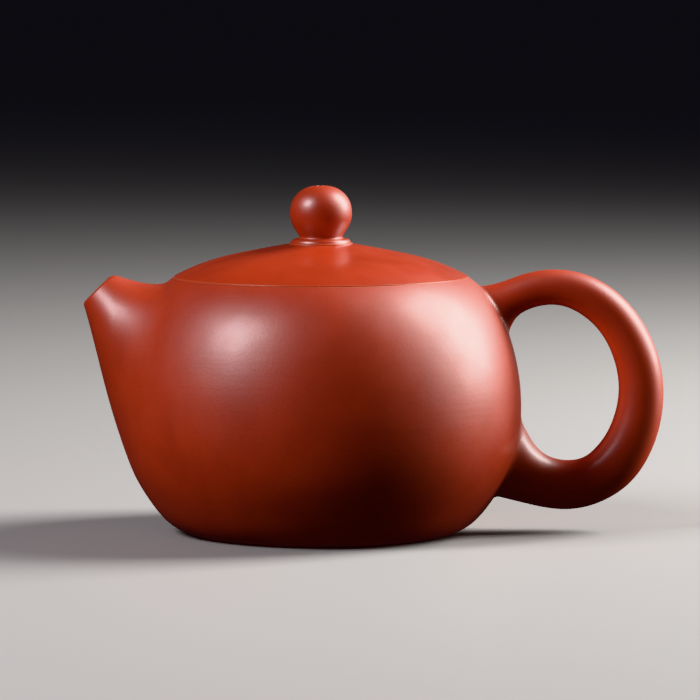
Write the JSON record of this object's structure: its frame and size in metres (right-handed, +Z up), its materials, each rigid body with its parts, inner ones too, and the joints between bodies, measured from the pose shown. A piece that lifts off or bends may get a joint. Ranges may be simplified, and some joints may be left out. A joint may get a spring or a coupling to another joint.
{
  "type": "clay teapot",
  "caption": "Small round unglazed clay teapot with a lift-off cut lid and ball knob, short straight spout and ear-shaped handle.",
  "frame": {"origin": "centre of the foot ring, on the surface that the teapot stands on", "axes": "+Z up, -X towards the spout, +X towards the handle, Y across"},
  "size_m": [0.1306, 0.0902, 0.078],
  "materials": {
    "zhuni_clay": "unglazed red clay, hand-burnished to a satin sheen",
    "inner_clay": "the same clay left as it was scraped, matt"
  },
  "bodies": {
    "pot": {"body_wall": "zhuni_clay", "base_disc": "inner_clay", "mouth_ring": "inner_clay", "strainer": "inner_clay", "spout": "zhuni_clay", "handle": "zhuni_clay"},
    "lid": {"lid_dome": "zhuni_clay", "lid_flange": "inner_clay", "knob_seat": "zhuni_clay", "knob": "zhuni_clay"}
  },
  "joints": [
    {"name": "lid_lift", "type": "slide", "parent": "pot", "child": "lid", "axis": [0, 0, 1], "range_m": [0, 0.06]}
  ]
}
